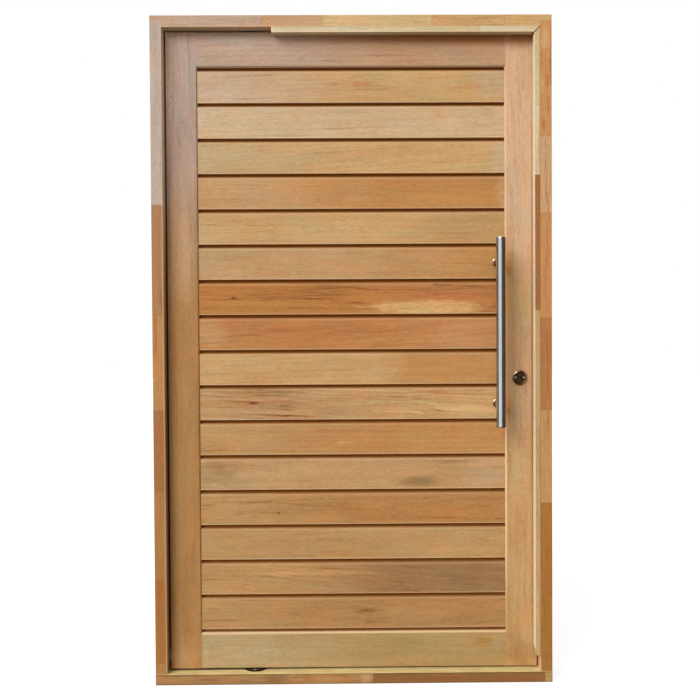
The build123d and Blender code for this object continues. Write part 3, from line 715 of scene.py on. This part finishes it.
def screws(name, places, axis, radius, body, slot_name):
    """Dome-headed screws with a cross recess, let in so that only the heads show."""
    shape = bmesh.new()
    dome = 0.38 * radius
    profile = ((-dome, 0.0), (-dome, 0.86 * radius), (0.0, radius), (0.35 * dome, 0.93 * radius),
               (0.75 * dome, 0.68 * radius), (dome, 0.34 * radius), (dome, 0.0))
    for place in places:
        turned(shape, profile, place, axis, steps=24)
    heads = len(shape.faces)
    for place in places:
        for quarter in (0.0, math.pi / 2):
            cross = bmesh.ops.create_cube(shape, size=1.0)["verts"]
            size = Matrix.Diagonal((1.15 * radius, 0.24 * radius, 0.5 * dome, 1.0))
            sunk = Matrix.Rotation(quarter, 4, "Z") @ Matrix.Translation((0.0, 0.0, 0.8 * dome)) @ size
            bmesh.ops.transform(shape, verts=cross, matrix=Matrix.Translation(place) @ standing(axis) @ sunk)
    for face in list(shape.faces)[heads:]:
        face.material_index = 1
    finished(shape, name, (BRIGHT_STEEL, RECESS), body, slot_name)


BLACK_STEEL = metal("pivot_steel", tone(70, 62, 54), 0.40)
BRIGHT_STEEL = metal("bright_steel", tone(222, 214, 200), 0.26)
RECESS = metal("screw_recess", tone(46, 40, 36), 0.55)
for name in ("head_pivot_plate", "bottom_pivot_bush", "top_pivot_bush"):
    dress(name, BLACK_STEEL)
plate_low, plate_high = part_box("floor_pivot_plate")
PLATE_SCREW_R, PLATE_SCREW_RING = 0.0038, 0.029
PLATE_RIM = (plate_high[0] - plate_low[0]) / 2
# The plate's top is painted a lighter brown as a painted reflection of the leaf's foot, and its rim is
# darkened as painted shade.
LEAF_REFLECTION_STEEL = tone(126, 110, 90)
TURNED_STEEL = tone(92, 78, 62)
RIM_SHADE_STEEL = tone(48, 36, 24)
DISC_T = 0.004
pivot_x = (plate_low[0] + plate_high[0]) / 2
floor_steel, tree, shader = new_material("floor_plate_steel")
place, x, y, z = object_place(tree)
across = maths(tree, "SUBTRACT", x, pivot_x)
ring = maths(tree, "SQRT", maths(tree, "MULTIPLY_ADD", y, y, maths(tree, "MULTIPLY", across, across)))
lathe = node(tree, "ShaderNodeCombineXYZ",
             {"X": maths(tree, "MULTIPLY", ring, 900.0), "Y": maths(tree, "MULTIPLY", z, 200.0)})
swirl = noise(tree, lathe.outputs[0], (1.0, 1.0, 1.0), 2.0)
rim = span(tree, ring, PLATE_RIM - 0.004, PLATE_RIM - 0.001)
worn = mixed(tree, swirl, LEAF_REFLECTION_STEEL, TURNED_STEEL)
tree.links.new(mixed(tree, rim, worn, RIM_SHADE_STEEL), shader.inputs["Base Color"])
tree.links.new(maths(tree, "MULTIPLY_ADD", swirl, 0.2, 0.30), shader.inputs["Roughness"])
shader.inputs["Metallic"].default_value = 1.0
dress("floor_pivot_plate", floor_steel)
spots = [(pivot_x + PLATE_SCREW_RING * math.cos(a), PLATE_SCREW_RING * math.sin(a), SILL_TOP + DISC_T)
         for a in map(math.radians, (-90, 30, 150))]
screws("floor_plate_screws", spots, (0.0, 0.0, 1.0), PLATE_SCREW_R, "frame", "pivot_steel")

# Pull handles: 32 mm stainless tube with pressed-in end caps, on two posts bolted through the leaf.
# Each post is turned with a bevelled foot that bears on the slats.
# The tube is brushed along its length, so it mirrors its surroundings as long stripes.
STAINLESS = metal("brushed_stainless", tone(194, 202, 204), 0.22, (900.0, 900.0, 14.0))
# The posts' steel is tinted warm brown: a painted reflection of the timber around them.
POST_STEEL = metal("post_steel", tone(160, 128, 100), 0.24)
CAP_ROUND, CAP_SEAM, CAP_SEAM_W, CAP_SEAM_IN = 0.0015, 0.0040, 0.0004, 0.0003
POST_R, FOOT_RIM, FOOT_T, FOOT_EASE = 0.011, 0.0040, 0.0060, 0.0003
CRISP = 20.0
for side, out in (("front", -1.0), ("back", 1.0)):
    low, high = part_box(f"{side}_handle_bar")
    radius, length = (high[0] - low[0]) / 2, high[2] - low[2]
    middle = (low + high) / 2
    end = [(0.0, 0.0), (0.0, radius - CAP_ROUND), (0.3 * CAP_ROUND, radius - 0.3 * CAP_ROUND),
           (CAP_ROUND, radius), (CAP_SEAM, radius), (CAP_SEAM + CAP_SEAM_W / 4, radius - CAP_SEAM_IN),
           (CAP_SEAM + 3 * CAP_SEAM_W / 4, radius - CAP_SEAM_IN), (CAP_SEAM + CAP_SEAM_W, radius)]
    bar = bmesh.new()
    outline = end + [(length - a, r) for a, r in reversed(end)]
    turned(bar, outline, (middle[0], middle[1], low[2]), (0.0, 0.0, 1.0), steps=72)
    finished(bar, f"{side}_pull_bar", (STAINLESS,), "leaf", "brushed_stainless", f"{side}_handle_bar")
    low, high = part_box(f"{side}_handle_posts")
    radius, length = (high[0] - low[0]) / 2, high[1] - low[1]
    foot = high[1] if out < 0 else low[1]
    post = [(0.0, 0.0), (0.0, radius), (FOOT_RIM - 2 * FOOT_EASE, radius), (FOOT_RIM, radius - FOOT_EASE),
            (FOOT_T - FOOT_EASE / 2, POST_R + FOOT_EASE), (FOOT_T + FOOT_EASE, POST_R), (length, POST_R),
            (length, 0.0)]
    posts = bmesh.new()
    for height in (low[2] + radius, high[2] - radius):
        turned(posts, post, ((low[0] + high[0]) / 2, foot, height), (0.0, out, 0.0))
    finished(posts, f"{side}_pull_posts", (POST_STEEL,), "leaf", "brushed_stainless", f"{side}_handle_posts",
             sharp=CRISP)

# Lock: a plated round rose on each face, screwed over the ends of a key cylinder.
# A satin forend is let into the edge of the leaf and a keeper into the jamb, each held by two screws.
ROSE_PLATE = metal("dark_chrome", tone(126, 108, 90), 0.17)
RUBBED_RIM = metal("rubbed_rim", tone(150, 128, 100), 0.24)
CYLINDER = metal("cylinder_brass", tone(122, 106, 86), 0.22)
LOCK_STEEL = metal("lock_steel", tone(188, 184, 176), 0.34, (700.0, 700.0, 20.0))
dress("lock_forend", LOCK_STEEL)
dress("lock_keeper", LOCK_STEEL)
ROSE_SCREW_R, ROSE_SCREW_OFF, ROSE_SCREW_DROP = 0.0029, 0.0137, 0.001
ROSE_BORE, ROSE_DISH_R = 0.0094, 0.0192
ROSE_RIM = ((0.0, 0.0245), (0.0040, 0.0245), (0.0044, 0.0242), (0.0068, 0.0203), (0.0070, 0.0198),
            (0.0069, 0.0194), (0.0057, 0.0186), (0.0055, 0.0181))
for side, out in (("front", -1.0), ("back", 1.0)):
    low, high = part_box(f"{side}_lock_rose")
    foot = high[1] if out < 0 else low[1]
    middle = (low + high) / 2
    rose = bmesh.new()
    section = ((0.0, ROSE_BORE),) + ROSE_RIM + ((ROSE_RIM[-1][0], ROSE_BORE),)
    turned(rose, section, (middle[0], foot, middle[2]), (0.0, out, 0.0), steps=64, closed=True)
    for face in rose.faces:
        off = face.calc_center_median() - middle
        face.material_index = 1 if math.hypot(off[0], off[2]) > ROSE_DISH_R else 0
    finished(rose, f"{side}_rose", (ROSE_PLATE, RUBBED_RIM), "leaf", "dark_chrome", f"{side}_lock_rose",
             sharp=CRISP)
    dish = foot + out * ROSE_RIM[-1][0]
    spots = [(middle[0] + way * ROSE_SCREW_OFF, dish, middle[2] - ROSE_SCREW_DROP) for way in (-1, 1)]
    screws(f"{side}_rose_screws", spots, (0.0, out, 0.0), ROSE_SCREW_R, "leaf", "dark_chrome")
low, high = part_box("lock_cylinder")
middle, length, radius = (low + high) / 2, high[1] - low[1], (high[0] - low[0]) / 2
PLUG_R, PLUG_IN, PLUG_EDGE, CYLINDER_EASE = 0.0063, 0.0005, 0.0003, 0.0008
end = [(PLUG_IN, 0.0), (PLUG_IN, PLUG_R), (0.0, PLUG_R + PLUG_EDGE), (0.0, radius - CYLINDER_EASE),
       (CYLINDER_EASE, radius)]
cylinder = bmesh.new()
outline = end + [(length - a, r) for a, r in reversed(end)]
turned(cylinder, outline, (middle[0], low[1], middle[2]), (0.0, 1.0, 0.0))
shown = len(cylinder.faces)
KEYWAY = (0.0016, 0.0012, 0.0078)
for face_y in (low[1] + PLUG_IN, high[1] - PLUG_IN):
    slot = bmesh.ops.create_cube(cylinder, size=1.0)["verts"]
    spot = Matrix.Translation((middle[0], face_y, middle[2]))
    bmesh.ops.transform(cylinder, verts=slot, matrix=spot @ Matrix.Diagonal((*KEYWAY, 1.0)))
for face in list(cylinder.faces)[shown:]:
    face.material_index = 1
finished(cylinder, "key_cylinder", (CYLINDER, RECESS), "leaf", "cylinder_brass", "lock_cylinder")
EDGE_SCREW_R, EDGE_SCREW_IN = 0.0036, 0.011
low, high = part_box("lock_forend")
spots = [(high[0], 0.0, z) for z in (low[2] + EDGE_SCREW_IN, high[2] - EDGE_SCREW_IN)]
screws("forend_screws", spots, (1.0, 0.0, 0.0), EDGE_SCREW_R, "leaf", "lock_steel")
low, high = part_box("lock_keeper")
spots = [(low[0], 0.0, z) for z in (low[2] + EDGE_SCREW_IN, high[2] - EDGE_SCREW_IN)]
screws("keeper_screws", spots, (-1.0, 0.0, 0.0), EDGE_SCREW_R, "frame", "lock_steel")

# Studio: a white floor and surround, a broad soft key from the upper left and three dim cards.
# The surround is dimmer on the right, and the cards show only in mirror-like surfaces.
scene.view_settings.view_transform = "Standard"
AMBIENT, AMBIENT_TILT = 0.68, 0.60
WARM_FILL, COOL_KEY = (1.0, 0.95, 0.88, 1.0), (1.0, 1.05, 1.12)
FLOOR_TONE = 0.25
FLOOR_GLOW = 0.82
FLOOR_SIZE = 40.0
KEY_SIDE, KEY_UP, KEY_SPREAD, KEY_POWER = 40.0, 34.0, 34.0, 2.60


def seen_white(tree):
    """One for rays from the eye or from a mirror-like or clear surface, else zero."""
    path = node(tree, "ShaderNodeLightPath").outputs
    seen = maths(tree, "MAXIMUM", path["Is Camera Ray"], path["Is Glossy Ray"])
    return maths(tree, "MAXIMUM", seen, path["Is Transmission Ray"])


world = bpy.data.worlds.new("surround")
scene.world = world
world.use_nodes = True
surround = world.node_tree
background = surround.nodes["Background"]
ray = node(surround, "ShaderNodeTexCoord").outputs["Generated"]
way = node(surround, "ShaderNodeSeparateXYZ", {0: ray}).outputs[0]
fill = maths(surround, "MULTIPLY_ADD", way, -AMBIENT_TILT * AMBIENT, AMBIENT)
white = seen_white(surround)
surround.links.new(mixed(surround, white, WARM_FILL, (1.0, 1.0, 1.0, 1.0)), background.inputs["Color"])
fill = maths(surround, "MULTIPLY", fill, maths(surround, "SUBTRACT", 1.0, white))
surround.links.new(maths(surround, "ADD", fill, white), background.inputs["Strength"])


def stage_sheet(name, corners, material):
    """Flat sheet of the studio, outside the object."""
    sheet = bmesh.new()
    bmesh.ops.contextual_create(sheet, geom=[sheet.verts.new(corner) for corner in corners])
    data = bpy.data.meshes.new(name)
    sheet.to_mesh(data)
    sheet.free()
    data.materials.append(material)
    made = bpy.data.objects.new(name, data)
    scene.collection.objects.link(made)
    return made


floor_white, tree, shader = new_material("floor_white")
shader.inputs["Base Color"].default_value = (FLOOR_TONE, FLOOR_TONE, FLOOR_TONE, 1.0)
shader.inputs["Roughness"].default_value = 0.9
shader.inputs["Emission Color"].default_value = (1.0, 1.0, 1.0, 1.0)
tree.links.new(maths(tree, "MULTIPLY", seen_white(tree), FLOOR_GLOW), shader.inputs["Emission Strength"])
half = FLOOR_SIZE / 2
stage_sheet("floor", ((-half, -half, 0.0), (half, -half, 0.0), (half, half, 0.0), (-half, half, 0.0)),
            floor_white)


def mirror_card(name, corners, colour):
    """Matt card that shows only in mirror-like surfaces."""
    made, _, shader = new_material(name)
    shader.inputs["Base Color"].default_value = colour
    shader.inputs["Roughness"].default_value = 1.0
    card = stage_sheet(name, corners, made)
    card.visible_camera = False
    card.visible_diffuse = False
    card.visible_shadow = False
    card.visible_transmission = False


mirror_card("right_card", ((0.80, -3.6, -0.2), (1.55, 0.8, -0.2), (1.55, 0.8, 3.2), (0.80, -3.6, 3.2)),
            tone(104, 68, 46))
mirror_card("left_card", ((-1.20, 0.4, -0.2), (-1.20, -0.75, -0.2), (-1.20, -0.75, 3.2), (-1.20, 0.4, 3.2)),
            tone(128, 88, 60))
mirror_card("floor_card",
            ((-2.0, -2.6, 0.002), (2.0, -2.6, 0.002), (2.0, -0.25, 0.002), (-2.0, -0.25, 0.002)),
            tone(84, 62, 44))

key_data = bpy.data.lights.new("key", "SUN")
key_data.energy = KEY_POWER
key_data.color = COOL_KEY
key_data.angle = math.radians(KEY_SPREAD)
key = bpy.data.objects.new("key", key_data)
key.rotation_euler = (math.radians(90 - KEY_UP), 0.0, math.radians(-KEY_SIDE))
scene.collection.objects.link(key)
